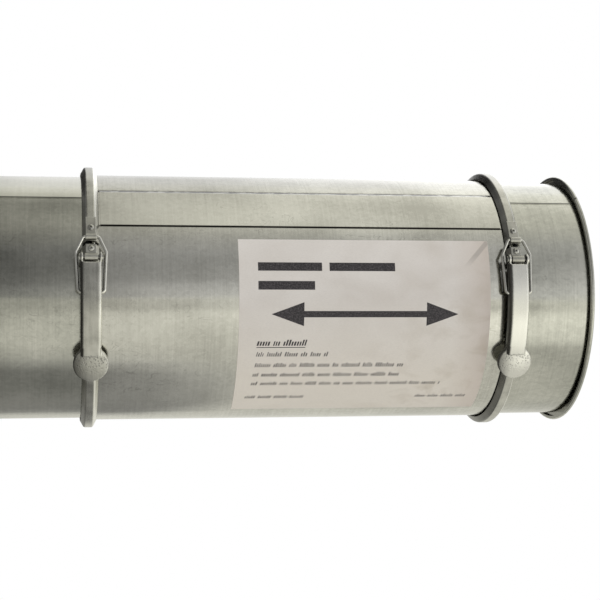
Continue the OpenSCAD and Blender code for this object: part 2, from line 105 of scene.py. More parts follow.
# Galvanised sheet: patterns as size in mm, detail and distortion; seams as angle, reach of the painted shade
# in mm, its depth and whether it is ragged. Grain, spangle, streaks and scratches are drawn coarser than
# life.
sheetLook = {
    "duct": {
        "tones": [(0.34, "#9B9B93"), (0.50, "#AFAFA6"), (0.68, "#C3C2B9")],
        "seams": [(51.5, 1.2, 1.0, False)],
        "paintedSheenArc": (51.5, 52.5, 75.0, 95.0), "paintedSheenDepth": 0.45,  # angles of the painted sheen, and its depth
    },
    "sleeve": {
        "tones": [(0.34, "#AAA9A1"), (0.50, "#BDBCB4"), (0.68, "#CFCEC6")],
        "seams": [(32.8, 1.1, 1.0, False), (56.0, 3.4, 0.98, True)],
        "paintedSheenArc": (32.8, 33.2, 34.0, 54.0), "paintedSheenDepth": 0.33,
    },
    "patterns": {
        "cloud": ((70, 45, 70), 1, 0), "streak": ((1.5, 50, 30), 2, 0), "grain": ((1.5, 1.2, 1.5), 2, 0),
        "wave": ((240, 15, 240), 1, 0), "scratch": ((22, 14, 20), 2, 1.6), "patch": ((90, 40, 90), 1, 0),
        "dash": ((6, 3, 30), 3, 0),
    },
    "flake": (3.4, 2.6, 3.4), "toneOf": {"cloud": 0.62, "streak": 0.20, "grain": 0.10, "flake": 0.08},
    "scored": "#55544E", "scratchWide": 0.012, "scratchDeep": 0.32, "scratchPatch": (0.52, 0.62),
    "bright": "#F0EFE4", "paintedSheenLeft": (40.0, -60.0),  # painted sheen, stronger towards the left, in mm along the duct
    # painted shade along the seams: the lap edge, the crease and the duct's seam
    "paintedSeamShade": "#1E1D1B", "ragged": 0.9, "broken": (0.36, 0.52, 0.35),  # how far a ragged seam strays in mm
    "inside": "#DAD9CF", "insideFrom": (0.2, 0.1), "insideDull": 0.7, "insideRough": 0.36,
    "roughness": (0.13, 0.22), "bumps": [("wave", 1.0, 0.35), ("streak", 0.12, 0.02), ("grain", 0.15, 0.03)],
}


def galvanisedSheet(name, look, shared, bore):
    # hot-dip zinc, rolled smooth: a soft grey mirror with a fine spangle, rolling streaks and handling
    # marks, a painted sheen beside the seams and painted shade along them
    material, tree, shader = newMaterial(name, {"Metallic": 1.0})
    place = roundPlace(tree)
    split = addNode(tree, "SeparateXYZ", {0: place}).node.outputs
    along, arc, out = split["X"], split["Y"], split["Z"]
    noises = {}
    for key, (size, detail, distortion) in shared["patterns"].items():
        spread = addNode(tree, "VectorMath", {0: place, 1: size}, operation="DIVIDE")
        noises[key] = addNode(tree, "TexNoise", {"Vector": spread, "Scale": 1.0, "Detail": detail,
                                                 "Distortion": distortion})
    cells = addNode(tree, "VectorMath", {0: place, 1: shared["flake"]}, operation="DIVIDE")
    flakes = addNode(tree, "TexVoronoi", {"Vector": cells, "Scale": 1.0}, "Color")
    noises["flake"] = addNode(tree, "SeparateColor", {0: flakes})
    tone = 0.0
    for key, share in shared["toneOf"].items():
        tone = addNode(tree, "Math", {0: noises[key], 1: share, 2: tone}, operation="MULTIPLY_ADD")
    colour = addNode(tree, "ValToRGB", {0: tone}, stops=look["tones"])

    level = addNode(tree, "Math", {0: noises["scratch"], 1: 0.5}, operation="SUBTRACT")  # faint curved marks
    level = addNode(tree, "Math", {0: level}, operation="ABSOLUTE")
    wide, deep = shared["scratchWide"], shared["scratchDeep"]
    scratch = addNode(tree, "MapRange", {0: level, 1: 0.0, 2: wide, 3: deep, 4: 0.0})
    low, high = shared["scratchPatch"]
    patch = addNode(tree, "MapRange", {0: noises["patch"], 1: low, 2: high})
    scratch = addNode(tree, "Math", {0: scratch, 1: patch}, operation="MULTIPLY")
    colour = addNode(tree, "Mix", {0: scratch, 6: colour, 7: shared["scored"]}, 2, data_type="RGBA")

    low, full, fade, high = [arcAt(angle) for angle in look["paintedSheenArc"]]  # painted sheen beside the seam
    rise = addNode(tree, "MapRange", {0: arc, 1: low, 2: full})
    fall = addNode(tree, "MapRange", {0: arc, 1: fade, 2: high, 3: 1.0, 4: 0.0})
    near, far = shared["paintedSheenLeft"]
    bright = addNode(tree, "Math", {0: rise, 1: fall}, operation="MULTIPLY")
    strong = addNode(tree, "MapRange", {0: along, 1: near, 2: far, 3: 0.0, 4: look["paintedSheenDepth"]})
    bright = addNode(tree, "Math", {0: bright, 1: strong}, operation="MULTIPLY")
    colour = addNode(tree, "Mix", {0: bright, 6: colour, 7: shared["bright"]}, 2, data_type="RGBA")

    low, high, least = shared["broken"]
    broken = addNode(tree, "MapRange", {0: noises["dash"], 1: low, 2: high, 3: least, 4: 1.0})
    shift = addNode(tree, "MapRange", {0: noises["dash"], 1: noiseLow, 2: noiseHigh, 3: -shared["ragged"],
                                       4: shared["ragged"]})
    for angle, reach, depth, ragged in look["seams"]:  # painted shade along a seam
        gap = addNode(tree, "Math", {0: arc, 1: arcAt(angle)}, operation="SUBTRACT")
        if ragged:
            gap = addNode(tree, "Math", {0: shift, 1: gap}, operation="ADD")
        gap = addNode(tree, "Math", {0: gap}, operation="ABSOLUTE")
        line = addNode(tree, "MapRange", {0: gap, 1: 0.0, 2: reach, 3: depth, 4: 0.0},
                       interpolation_type="SMOOTHSTEP")
        if ragged:
            line = addNode(tree, "Math", {0: line, 1: broken}, operation="MULTIPLY")
        colour = addNode(tree, "Mix", {0: line, 6: colour, 7: shared["paintedSeamShade"]}, 2, data_type="RGBA")

    far, near = [bore / mm + margin for margin in shared["insideFrom"]]  # a bore dull and pale with dust
    inside = addNode(tree, "MapRange", {0: out, 1: far, 2: near, 4: shared["insideDull"]})
    colour = addNode(tree, "Mix", {0: inside, 6: colour, 7: shared["inside"]}, 2, data_type="RGBA")
    tree.links.new(colour, shader["Base Color"])
    low, high = shared["roughness"]
    rough = addNode(tree, "MapRange", {0: noises["cloud"], 1: noiseLow, 2: noiseHigh, 3: low, 4: high})
    rough = addNode(tree, "Mix", {0: inside, 2: rough, 3: shared["insideRough"]})
    tree.links.new(rough, shader["Roughness"])
    normal = addNode(tree, "NewGeometry", out="Normal")
    for key, strength, deep in shared["bumps"]:
        normal = addNode(tree, "Bump", {"Height": noises[key], "Strength": strength, "Distance": deep * mm,
                                        "Normal": normal})
    tree.links.new(normal, shader["Normal"])
    return material


for name, node, part in (("hotDipGalvanisedDuct", "duct_pipe", "duct"),
                         ("hotDipGalvanisedSleeve", "access_sleeve", "sleeve")):
    dress(galvanisedSheet(name, sheetLook[part], sheetLook, radiusOf(node, min)), node)
print("sheet metal dressed")

# Zinc-plated clamp pieces: sizes in mm, rolling lines long in the direction that the piece was drawn in.
# These lines, worn edges, grain and pits are drawn coarser than life, so that they show.
clampLook = {
    "band": {
        "tones": [(0.36, "#97968F"), (0.50, "#B0AFA7"), (0.66, "#C7C6BD")], "worn": "#EDECE4",
        "roughness": (0.22, 0.36), "line": (0.5, 60, 60), "edge": 0.8, "paintedLeftShade": 0.6,
    },
    "plate": {
        "tones": [(0.36, "#9A9991"), (0.50, "#B2B1A8"), (0.66, "#C6C5BC")], "worn": "#F0EFE6",
        "roughness": (0.32, 0.46), "line": (0.5, 40, 40), "edge": 0.9, "paintedLeftShade": 0.6,
    },
    "lever": {
        "tones": [(0.36, "#93928C"), (0.50, "#ABAAA2"), (0.66, "#C2C1B9")], "worn": "#EBEAE2",
        "roughness": (0.22, 0.34), "line": (2.0, 40, 40), "edge": 1.6, "paintedLeftShade": 0.95,
    },
    "rivet": {
        "tones": [(0.36, "#A3A29A"), (0.50, "#BAB9B1"), (0.66, "#CCCBC3")], "worn": "#EDECE4",
        "roughness": (0.16, 0.28), "line": (1.5, 1.5, 1.5), "edge": 0.25, "paintedLeftShade": 0.6,
    },
    "wire": {
        "tones": [(0.36, "#B9B8B0"), (0.50, "#CBCAC2"), (0.66, "#DAD9D1")], "worn": "#EFEEE6",
        "roughness": (0.14, 0.26), "line": (0.3, 8, 8), "edge": 0.2, "paintedLeftShade": 0.4,
    },
    "cloud": (16, 13, 13), "grain": (0.7, 0.7, 0.7), "toneOf": {"cloud": 0.62, "line": 0.26, "grain": 0.12},
    "edgeTurn": (0.99, 0.86), "edgeWear": (0.3, 0.6, 0.3, 0.95),  # cosine of the turn, and how patchy it is
    "rightHighlightFacing": (0.25, 0.6, 0.85), "leftShadeFacing": (-0.1, -0.45),  # painted highlight and painted shade, by how far a face looks right or left
    # painted shade: on left-facing flanks, in tight corners and in the bulb's pits
    "paintedShade": "#1F1E1C", "nook": 5.0, "nookShade": (0.25, 0.75, 0.75),
    "bumps": [("line", 0.3, 0.02), ("grain", 0.3, 0.03)],
    "bulbHigh": 20.0, "rightLeverLight": (-100.0, 100.0, 0.6),  # painted light: the levers get brighter from left to right
    "pit": (1.6, 1.6, 1.6), "pitEdge": (0.45, 0.2), "pitStart": 1.0, "pitFade": (17.0, 8.0),
    "pitDeep": 0.25, "pitShade": 0.14, "pitRough": 0.12,
}


def zincPlated(name, look, shared, pittedBelow=None):
    # barrel zinc plate on cold-rolled steel: grey with a soft shine, rolling lines and bright worn edges;
    # painted highlight on right-facing flanks, painted shade on left-facing flanks, in tight corners and in
    # pits
    material, tree, shader = newMaterial(name, {"Metallic": 1.0})
    place = roundPlace(tree)
    noises = {}
    for key, size in (("cloud", shared["cloud"]), ("line", look["line"]), ("grain", shared["grain"])):
        spread = addNode(tree, "VectorMath", {0: place, 1: size}, operation="DIVIDE")
        noises[key] = addNode(tree, "TexNoise", {"Vector": spread, "Scale": 1.0, "Detail": 3.0})
    tone = 0.0
    for key, share in shared["toneOf"].items():
        tone = addNode(tree, "Math", {0: noises[key], 1: share, 2: tone}, operation="MULTIPLY_ADD")
    colour = addNode(tree, "ValToRGB", {0: tone}, stops=look["tones"])

    rounded = addNode(tree, "Bevel", {"Radius": look["edge"] * mm}, samples=6)
    facing = addNode(tree, "NewGeometry", out="Normal")
    turn = addNode(tree, "VectorMath", {0: rounded, 1: facing}, "Value", operation="DOT_PRODUCT")
    flat, sharp = shared["edgeTurn"]
    edge = addNode(tree, "MapRange", {0: turn, 1: flat, 2: sharp})
    low, high, least, most = shared["edgeWear"]
    wear = addNode(tree, "MapRange", {0: noises["cloud"], 1: low, 2: high, 3: least, 4: most})
    edge = addNode(tree, "Math", {0: edge, 1: wear}, operation="MULTIPLY")
    colour = addNode(tree, "Mix", {0: edge, 6: colour, 7: look["worn"]}, 2, data_type="RGBA")

    side = addNode(tree, "SeparateXYZ", {0: rounded}, "X")  # painted highlight on right-facing flanks, painted shade on left-facing ones
    low, high, most = shared["rightHighlightFacing"]
    rightHighlight = addNode(tree, "MapRange", {0: side, 1: low, 2: high, 3: 0.0, 4: most})
    colour = addNode(tree, "Mix", {0: rightHighlight, 6: colour, 7: look["worn"]}, 2, data_type="RGBA")
    low, high = shared["leftShadeFacing"]
    paintedLeftShade = addNode(tree, "MapRange", {0: side, 1: low, 2: high, 3: 0.0, 4: look["paintedLeftShade"]})
    colour = addNode(tree, "Mix", {0: paintedLeftShade, 6: colour, 7: shared["paintedShade"]}, 2, data_type="RGBA")
    nooks = addNode(tree, "AmbientOcclusion", {"Distance": shared["nook"] * mm}, "AO", samples=8)
    low, high, most = shared["nookShade"]  # painted shade in the tight corners
    paintedShade = addNode(tree, "MapRange", {0: nooks, 1: low, 2: high, 3: most, 4: 0.0})
    colour = addNode(tree, "Mix", {0: paintedShade, 6: colour, 7: shared["paintedShade"]}, 2, data_type="RGBA")

    low, high = look["roughness"]
    rough = addNode(tree, "Mix", {0: 0.5, 2: noises["cloud"], 3: noises["line"]})
    rough = addNode(tree, "MapRange", {0: rough, 1: noiseLow, 2: noiseHigh, 3: low, 4: high})
    normal = rounded
    for key, strength, deep in shared["bumps"]:
        normal = addNode(tree, "Bump", {"Height": noises[key], "Strength": strength, "Distance": deep * mm,
                                        "Normal": normal})
    if pittedBelow is not None:  # a lever: its thumb bulb is pitted below the crease
        # painted light: paler towards the right, except where a face looks left
        along = addNode(tree, "SeparateXYZ", {0: place}, "X")
        left, right, most = shared["rightLeverLight"]
        rightLeverLight = addNode(tree, "MapRange", {0: along, 1: left, 2: right, 3: 0.0, 4: most})
        rightLeverLight = addNode(tree, "Mix", {0: paintedLeftShade, 2: rightLeverLight, 3: 0.0})
        colour = addNode(tree, "Mix", {0: rightLeverLight, 6: colour, 7: look["worn"]}, 2, data_type="RGBA")
        up = addNode(tree, "SeparateXYZ", {0: addNode(tree, "TexCoord", out="Object")}, "Z")
        bulb = addNode(tree, "MapRange", {0: up, 1: pittedBelow, 2: pittedBelow - shared["pitStart"] * mm})
        gone, full = [pittedBelow - down * mm for down in shared["pitFade"]]
        fade = addNode(tree, "MapRange", {0: up, 1: gone, 2: full})
        cells = addNode(tree, "VectorMath", {0: place, 1: shared["pit"]}, operation="DIVIDE")
        pits = addNode(tree, "TexVoronoi", {"Vector": cells, "Scale": 1.0}, "Distance")
        rim, middle = shared["pitEdge"]
        pits = addNode(tree, "MapRange", {0: pits, 1: rim, 2: middle})
        pits = addNode(tree, "Math", {0: pits, 1: bulb}, operation="MULTIPLY")
        pits = addNode(tree, "Math", {0: pits, 1: fade}, operation="MULTIPLY")
        normal = addNode(tree, "Bump", {"Height": pits, "Strength": 1.0, "Distance": -shared["pitDeep"] * mm,
                                        "Normal": normal})
        # painted shade in the pits
        shade = addNode(tree, "Math", {0: pits, 1: shared["pitShade"]}, operation="MULTIPLY")
        colour = addNode(tree, "Mix", {0: shade, 6: colour, 7: shared["paintedShade"]}, 2, data_type="RGBA")
        rough = addNode(tree, "Math", {0: bulb, 1: shared["pitRough"], 2: rough}, operation="MULTIPLY_ADD")
    tree.links.new(colour, shader["Base Color"])
    tree.links.new(rough, shader["Roughness"])
    tree.links.new(normal, shader["Normal"])
    return material


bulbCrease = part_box("left_lever")[0].z + clampLook["bulbHigh"] * mm
bandSteel = zincPlated("zincPlatedBandSteel", clampLook["band"], clampLook)
plateSteel = zincPlated("zincPlatedSheetSteel", clampLook["plate"], clampLook)
leverSteel = zincPlated("zincPlatedPressedSteel", clampLook["lever"], clampLook, bulbCrease)
rivetSteel = zincPlated("zincPlatedRivetSteel", clampLook["rivet"], clampLook)
wireSteel = zincPlated("brightDrawnWire", clampLook["wire"], clampLook)

ringLook = {
    "rubber": [(0.45, "#141414"), (0.80, "#34322F")], "dust": (5, 8, 5), "grain": (0.6, 0.6, 0.6),
    "roughness": (0.45, 0.7), "bump": (0.3, 0.02),
}


def mouldedRubber(name, look):
    # moulded EPDM: near black and matt, with a little dust; its grain is drawn coarser than life
    material, tree, shader = newMaterial(name, {"Specular IOR Level": 0.4, "IOR": 1.5})
    place = roundPlace(tree)
    dusty = addNode(tree, "VectorMath", {0: place, 1: look["dust"]}, operation="DIVIDE")
    dust = addNode(tree, "TexNoise", {"Vector": dusty, "Scale": 1.0, "Detail": 4.0})
    fine = addNode(tree, "VectorMath", {0: place, 1: look["grain"]}, operation="DIVIDE")
    grain = addNode(tree, "TexNoise", {"Vector": fine, "Scale": 1.0})
    colour = addNode(tree, "ValToRGB", {0: dust}, stops=look["rubber"])
    tree.links.new(colour, shader["Base Color"])
    low, high = look["roughness"]
    rough = addNode(tree, "MapRange", {0: dust, 1: noiseLow, 2: noiseHigh, 3: low, 4: high})
    tree.links.new(rough, shader["Roughness"])
    strength, deep = look["bump"]
    normal = addNode(tree, "Bump", {"Height": grain, "Strength": strength, "Distance": deep * mm})
    tree.links.new(normal, shader["Normal"])
    return material


ringRubber = mouldedRubber("mouldedEpdmRubber", ringLook)
for side in sides:
    dress(ringRubber, side + "_o_ring")
    dress(bandSteel, side + "_upper_band", side + "_lower_band")
    dress(plateSteel, side + "_catch_plate", side + "_lever_bracket",
          side + "_upper_hinge_leaf", side + "_lower_hinge_leaf")
    dress(leverSteel, side + "_lever")
    dress(wireSteel, side + "_wire_bail")
    dress(rivetSteel, side + "_catch_rivet", side + "_bracket_rivet", side + "_upper_leaf_rivet",
          side + "_lower_leaf_rivet", side + "_lever_pin", side + "_hinge_pin")
print("clamps dressed")

# Paper label: places in mm along the duct and round it
labelLow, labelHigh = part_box("instruction_label")
labelTop = math.asin(labelHigh.z / barrelRadius)  # angle of the label's top edge
labelLook = {
    "paper": [(0.35, "#D3CEC8"), (0.70, "#C9C3BC")],
    "patterns": {  # size in mm and detail; the fibres are drawn coarser than life, to show
        "cloud": ((46, 38, 40), 4), "threads": ((1.6, 0.7, 1.0), 4),
        "damp": ((24, 17, 20), 5), "crumple": ((34, 26, 30), 2),
    },
    "distortion": 0.5, "bumps": [("crumple", 0.2, 0.6), ("threads", 0.4, 0.02)],
    # yellowing and painted light: the paper paler and yellower towards the bottom
    "yellowingAndPaintedLight": "#D7D0C4", "yellowingAndLightDown": (0.0, -70.0, 0.9),
    "fibre": "#BBB5AE", "fibreFrom": (0.4, 0.75, 0.3),
    # darker and pinker towards the right edge
    "rightEdgeTint": "#BDB1A6", "margin": (118.0, 146.0, 0.6),
    "stain": "#9C8E78", "stainFrom": (0.48, 0.72, 0.6),
    "stainDown": (25.0, -95.0, 0.25), "stainRight": (40.0, 150.0, 0.1),
    # a grey diagonal streak near the top right
    "streakGrey": "#8F8A84", "streakSlant": (0.75, -0.66, 0.0), "streakAt": 81.0,
    "streakWide": (1.4, 2.4), "streakDeep": 0.5, "streakAbove": (24.0, 34.0),
    "ink": [(0.45, "#2B282A"), (0.80, "#5E595B")], "inkGrain": (1.2, 1.0, 1.0),
}


def agedPaper(name, look):
    # uncoated label paper, worn by years of handling: pale warm grey with fibres, damp marks and a grey
    # diagonal streak, paler and yellower towards the bottom with yellowing and painted light, and darker
    # towards the right edge
    material, tree, shader = newMaterial(name, {"Specular IOR Level": 0.25, "Roughness": 0.78, "IOR": 1.5})
    place = roundPlace(tree)
    split = addNode(tree, "SeparateXYZ", {0: place}).node.outputs
    along, arc = split["X"], split["Y"]
    noises = {}
    for key, (size, detail) in look["patterns"].items():
        spread = addNode(tree, "VectorMath", {0: place, 1: size}, operation="DIVIDE")
        noises[key] = addNode(tree, "TexNoise", {"Vector": spread, "Scale": 1.0, "Detail": detail,
                                                 "Distortion": look["distortion"]})
    colour = addNode(tree, "ValToRGB", {0: noises["cloud"]}, stops=look["paper"])
    marks = (("yellowingAndLightDown", arc, "yellowingAndPaintedLight"), ("fibreFrom", noises["threads"], "fibre"),
             ("margin", along, "rightEdgeTint"))
    for key, source, tint in marks:  # each grows from the first value to the second
        near, far, most = look[key]
        mark = addNode(tree, "MapRange", {0: source, 1: near, 2: far, 3: 0.0, 4: most})
        colour = addNode(tree, "Mix", {0: mark, 6: colour, 7: look[tint]}, 2, data_type="RGBA")

    near, far, most = look["stainFrom"]  # damp marks, mostly low on the right
    stain = addNode(tree, "MapRange", {0: noises["damp"], 1: near, 2: far, 3: 0.0, 4: most})
    for key, source in (("stainDown", arc), ("stainRight", along)):
        near, far, least = look[key]
        share = addNode(tree, "MapRange", {0: source, 1: near, 2: far, 3: least, 4: 1.0})
        stain = addNode(tree, "Math", {0: stain, 1: share}, operation="MULTIPLY")
    colour = addNode(tree, "Mix", {0: stain, 6: colour, 7: look["stain"]}, 2, data_type="RGBA")

    # a grey diagonal streak near the top right
    slant = addNode(tree, "VectorMath", {0: place, 1: look["streakSlant"]}, "Value", operation="DOT_PRODUCT")
    slant = addNode(tree, "Math", {0: slant, 1: look["streakAt"]}, operation="SUBTRACT")
    slant = addNode(tree, "Math", {0: slant}, operation="ABSOLUTE")
    near, far = look["streakWide"]
    greyStreak = addNode(tree, "MapRange", {0: slant, 1: near, 2: far, 3: look["streakDeep"], 4: 0.0},
                   interpolation_type="SMOOTHSTEP")
    near, far = look["streakAbove"]
    upper = addNode(tree, "MapRange", {0: arc, 1: near, 2: far})
    greyStreak = addNode(tree, "Math", {0: greyStreak, 1: upper}, operation="MULTIPLY")
    colour = addNode(tree, "Mix", {0: greyStreak, 6: colour, 7: look["streakGrey"]}, 2, data_type="RGBA")
    tree.links.new(colour, shader["Base Color"])
    normal = addNode(tree, "NewGeometry", out="Normal")
    for key, strength, deep in look["bumps"]:
        normal = addNode(tree, "Bump", {"Height": noises[key], "Strength": strength, "Distance": deep * mm,
                                        "Normal": normal})
    tree.links.new(normal, shader["Normal"])
    return material


def tonerInk(name, look):
    # laser toner: charcoal, a little uneven where the paper shows through, drawn coarser than life
    material, tree, shader = newMaterial(name, {"Roughness": 0.55, "Specular IOR Level": 0.35, "IOR": 1.5})
    spread = addNode(tree, "VectorMath", {0: roundPlace(tree), 1: look["inkGrain"]}, operation="DIVIDE")
    worn = addNode(tree, "TexNoise", {"Vector": spread, "Scale": 1.0, "Detail": 4.0})
    colour = addNode(tree, "ValToRGB", {0: worn}, stops=look["ink"])
    tree.links.new(colour, shader["Base Color"])
    return material


dress(agedPaper("agedLabelPaper", labelLook), "instruction_label")

# Print on the label: an arrow both ways, bars and rows of short strokes, in mm from the label's top left
printLook = {
    "thick": 0.03, "step": 2.5,  # of the toner, and of the strips that it is cut into
    "arrowDown": 60.7, "arrowFrom": 25.5, "arrowTo": 176.5,
    "headLong": 26.0, "headHigh": 19.0, "shaftHigh": 5.0,
    "title": [(15, 23, (51, 53)), (15, 38, (45,))], "titleHigh": 6.8, "titleGap": 6.0,  # left, down, widths
    "lines": [(14.5, 84, 40, "bold"), (14.5, 94, 58, "body"), (14, 104, 120, "body"),
              (13, 113.5, 119, "body"), (12.5, 123, 156, "body"),
              (9, 140, 48, "body"), (150, 140, 42, "body")],  # left, down, width and kind
    "bold": (1.0, 1.5, 0.8, 5.0), "body": (0.6, 1.0, 0.9, 4.0),  # thinnest, thickest, gap and full height
    "strokeHigh": (0.7, 0.75, 1.0), "underline": [(14.5, 88, 39, 0.6)],
    "wordLong": (3, 9), "wordGap": 2.2, "slant": 0.25, "seed": 7,
}


def box(left, down, wide, high):  # corners of an upright rectangle
    return [(left, down - high / 2), (left + wide, down - high / 2),
            (left + wide, down + high / 2), (left, down + high / 2)]


def arrowShapes(look):
    down, half = look["arrowDown"], look["headHigh"] / 2
    left, right = look["arrowFrom"], look["arrowTo"]
    inLeft, inRight = left + look["headLong"], right - look["headLong"]
    return [
        [(left, down), (inLeft, down - half), (inLeft, down + half)],
        [(right, down), (inRight, down + half), (inRight, down - half)],
        box(inLeft, down, inRight - inLeft, look["shaftHigh"]),
    ]


def titleShapes(look):
    shapes = []
    for left, down, words in look["title"]:
        for word in words:
            shapes.append(box(left, down, word, look["titleHigh"]))
            left += word + look["titleGap"]
    return shapes


def lineShapes(look):  # rows of short slanted strokes, in runs of a few
    draw = random.Random(look["seed"])
    shapes = [box(*bar) for bar in look["underline"]]
    for left, down, wide, kind in look["lines"]:
        thin, thick, gap, full = look[kind]
        end, foot = left + wide, down + full / 2
        while left < end:
            for stroke in range(draw.randint(*look["wordLong"])):
                right = left + draw.uniform(thin, thick)
                high = full * draw.choice(look["strokeHigh"])
                lean = high * look["slant"]
                if right < end:
                    shapes.append([(left, foot), (left + lean, foot - high),
                                   (right + lean, foot - high), (right, foot)])
                left = right + gap
            left += look["wordGap"]
    return shapes


def wrapShapes(name, shapes, look, material):  # flat shapes in mm, wrapped on the label
    mesh = bmesh.new()
    for shape in shapes:
        mesh.faces.new([mesh.verts.new((x, -y, 0)) for x, y in shape])
    lowest = min(v.co.y for v in mesh.verts)
    cut = -look["step"]
    while cut > lowest:  # cut into strips, so that the shapes can follow the curve
        geometry = mesh.verts[:] + mesh.edges[:] + mesh.faces[:]
        bmesh.ops.bisect_plane(mesh, geom=geometry, plane_co=(0, cut, 0), plane_no=(0, 1, 0))
        cut -= look["step"]
    radius = barrelRadius + look["thick"] * mm
    for v in mesh.verts:
        angle = labelTop + v.co.y * mm / barrelRadius
        v.co = Vector((labelLow.x + v.co.x * mm, -radius * math.cos(angle), radius * math.sin(angle)))
    mesh.normal_update()
    for face in mesh.faces:
        middle = face.calc_center_median()
        if face.normal.dot(Vector((0, middle.y, middle.z))) < 0:
            face.normal_flip()
    data = bpy.data.meshes.new(name)
    mesh.to_mesh(data)
    mesh.free()
    data.materials.append(material)
    piece = bpy.data.objects.new(name, data)
    bpy.context.scene.collection.objects.link(piece)
    layer = piece.modifiers.new("thickness", "SOLIDIFY")
    layer.thickness = look["thick"] * mm
    layer.offset = -1.0
    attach(piece, "sleeve")


toner = tonerInk("blackLaserToner", labelLook)
wrapShapes("printed_arrow", arrowShapes(printLook), printLook, toner)
wrapShapes("printed_title_bars", titleShapes(printLook), printLook, toner)
wrapShapes("printed_small_lines", lineShapes(printLook), printLook, toner)
print("label printed")

# Studio, lengths in metres: the metal mirrors the floor and a room, with levels by the mirrored direction
studio = {
    "white": "#FFFFFF", "warm": "#FFFEF5", "warmHigh": (0.7, 0.92), "fill": 1.0,
    "room": [(0.0, 0.62), (0.10, 0.60), (0.27, 0.43), (0.60, 0.36), (0.85, 0.48), (1.0, 0.72)],  # by height
    "across": [(-0.95, 1.25), (-0.60, 1.20), (-0.35, 0.60), (-0.10, 0.34), (0.0, 0.66),
               (0.08, 1.30), (0.24, 1.58), (0.32, 1.90), (0.50, 1.50), (0.70, 1.35),
               (0.78, 2.6), (0.88, 2.6), (0.96, 1.3)],
    "behind": (0.1, 0.55), "behindLeft": (-0.2, -0.02),
    "behindLevel": [(0.12, 1.0), (0.30, 1.7), (0.42, 1.7), (0.58, 1.0)],
    "doorway": (0.6, 0.75), "doorwayLevel": 0.03,
    "floor": "#EDEDEB", "floorRough": 0.9, "floorDrop": 1.2, "floorSize": 240.0,
    "floorShade": "#9C9C9A", "shadeAt": (-0.3, 0.35, 0.0), "shadeHalf": (0.2, 0.35, 0.0),
    "shade": (0.38, 1.1), "shadeSide": 4.0,
    "leftDark": (-0.6, -0.3, 0.6, 1.0), "rightBright": (0.3, 1.0, 1.0, 1.6),
    "brightFront": (-0.9, -1.5), "nearLevel": 0.85,
    "horizon": (-3.5, -7.0), "horizonLevel": (1.0, 4.0, 0.72, 1.2),
    "poolAt": (-0.12, 0.0, 0.0), "poolHalf": (1.4, 1.0), "pool": (0.35, 1.0),
    "lamps": {
        "overhead": {"at": (0.63, 0.30, 1.5), "size": (1.75, 1.2), "power": 3.3, "tint": "#FFFCF3"},
    },
}
# Camera: place in metres, turn and tilt in degrees, lens in mm
camera = {"at": (-0.1988, -1.2527, -0.0119), "turn": 9.48, "tilt": 0.45, "lens": 89.2, "reach": 200.0}


def makeWorld(look):
    world = bpy.data.worlds.new("studioRoom")
    bpy.context.scene.world = world
    world.use_nodes = True
    tree = world.node_tree
    sky = tree.nodes["Background"].inputs
    way = addNode(tree, "SeparateXYZ", {0: addNode(tree, "TexCoord", out="Generated")}).node.outputs
    rays = addNode(tree, "LightPath").node.outputs
    mirrored = addNode(tree, "Math", {0: rays["Is Glossy Ray"], 1: rays["Is Transmission Ray"]},
                       operation="MAXIMUM")
    side = addNode(tree, "MapRange", {0: way["X"], 1: -1.0, 2: 1.0})
    levels = {}
    for key in ("across", "behindLevel"):
        stops = [((x + 1) / 2, level) for x, level in look[key]]
        levels[key] = addNode(tree, "ValToRGB", {0: side}, stops=stops)
    byHeight = addNode(tree, "ValToRGB", {0: way["Z"]}, stops=look["room"])
    room = addNode(tree, "Math", {0: byHeight, 1: levels["across"]}, operation="MULTIPLY")
    near, far = look["behind"]  # the pale wall behind the object shows in the metal too
    behind = addNode(tree, "MapRange", {0: way["Y"], 1: near, 2: far})
    near, far = look["behindLeft"]
    right = addNode(tree, "MapRange", {0: way["X"], 1: near, 2: far})
    behind = addNode(tree, "Math", {0: behind, 1: right}, operation="MULTIPLY")
    room = addNode(tree, "Mix", {0: behind, 2: room, 3: levels["behindLevel"]})
    near, far = look["doorway"]  # a dark doorway behind on the left, mirrored in the clamps' left flanks
    doorway = addNode(tree, "MapRange", {0: way["Y"], 1: near, 2: far})
    left = addNode(tree, "Math", {0: 1.0, 1: right}, operation="SUBTRACT")
    doorway = addNode(tree, "Math", {0: doorway, 1: left}, operation="MULTIPLY")
    room = addNode(tree, "Mix", {0: doorway, 2: room, 3: look["doorwayLevel"]})
    low, high = look["warmHigh"]  # warm lights under the ceiling, for the metal to mirror
    warm = addNode(tree, "MapRange", {0: way["Z"], 1: low, 2: high})
    warm = addNode(tree, "Math", {0: warm, 1: mirrored}, operation="MULTIPLY")
    tint = addNode(tree, "Mix", {0: warm, 6: look["white"], 7: look["warm"]}, 2, data_type="RGBA")
    tree.links.new(tint, sky["Color"])
    strength = addNode(tree, "Mix", {0: mirrored, 2: look["fill"], 3: room})
    strength = addNode(tree, "Mix", {0: rays["Is Camera Ray"], 2: strength, 3: 1.0})  # a white background
    tree.links.new(strength, sky["Strength"])


